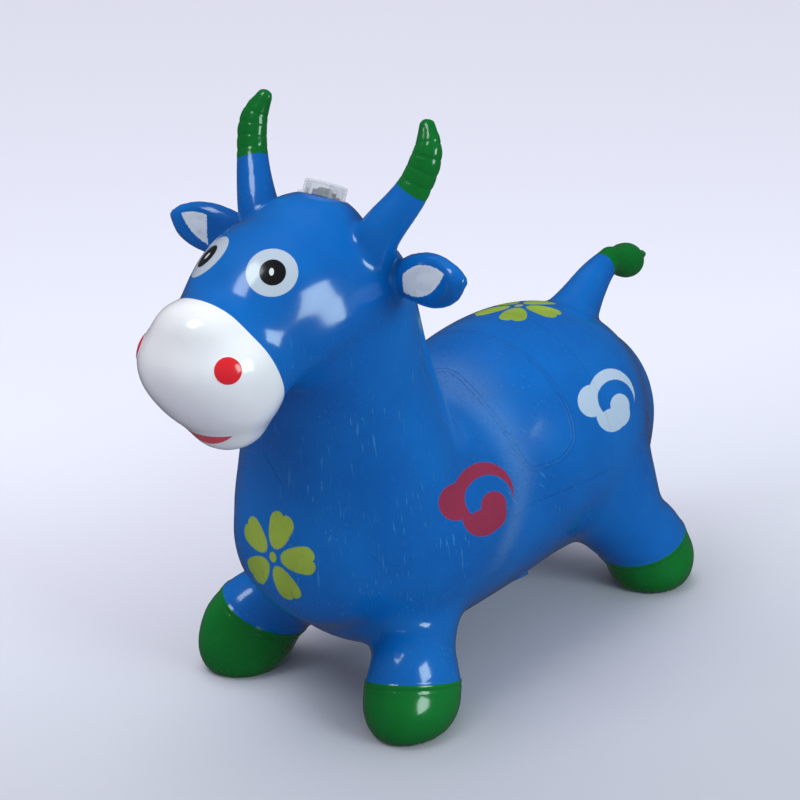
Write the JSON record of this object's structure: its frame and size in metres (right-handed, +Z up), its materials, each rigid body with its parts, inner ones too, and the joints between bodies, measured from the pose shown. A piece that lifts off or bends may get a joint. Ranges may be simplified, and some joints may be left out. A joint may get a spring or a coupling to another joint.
{
  "type": "bouncy ride-on cow",
  "caption": "Inflatable vinyl cow hopper for a child: hollow moulded skin with horn handles, belly air plug and a clear light and sound module in the head.",
  "frame": {"origin": "on the floor, under the middle of the cow's overall length and width", "axes": "+Z up, the cow faces -Y, its left side is at +X"},
  "size_m": [0.3196, 0.6952, 0.5319],
  "materials": {
    "blue_vinyl": "glossy soft vinyl, painted at the face, hooves, horns and tail",
    "white_plug": "satin",
    "clear_plastic": "clear, ribbed",
    "grey_plastic": "satin",
    "screw_steel": "zinc plated",
    "board_green": "solder mask",
    "black_plastic": "matt",
    "plated_contact": "nickel plated",
    "cell_steel": "bright",
    "lens_red": "clear tinted",
    "lens_green": "clear tinted",
    "lens_blue": "clear tinted",
    "black_resin": "satin resin",
    "switch_can": "nickel",
    "buzzer_brass": "bright",
    "wire_red": "insulated wire",
    "wire_black": "insulated wire"
  },
  "bodies": {
    "cow": {"body_skin": "blue_vinyl"},
    "plug": {"air_plug": "white_plug"},
    "module": {"module_cover": "clear_plastic", "module_base": "grey_plastic", "case_screw_1": "screw_steel", "case_screw_2": "screw_steel", "case_screw_3": "screw_steel", "circuit_board": "board_green", "battery_holder": "black_plastic", "contact_positive": "plated_contact", "contact_negative": "plated_contact", "button_cell_1": "cell_steel", "button_cell_2": "cell_steel", "button_cell_3": "cell_steel", "led_red": "lens_red", "led_green": "lens_green", "led_blue": "lens_blue", "sound_chip": "black_resin", "bounce_switch": "switch_can", "buzzer_disc": "buzzer_brass", "buzzer_wire_red": "wire_red", "buzzer_wire_black": "wire_black"}
  },
  "joints": [
    {"name": "plug_pull", "type": "slide", "parent": "cow", "child": "plug", "axis": [0.5, 0, -0.866], "range_m": [0, 0.02]},
    {"name": "module_lift", "type": "slide", "parent": "cow", "child": "module", "axis": [0, 0.4067, 0.9135], "range_m": [0, 0.03]}
  ]
}
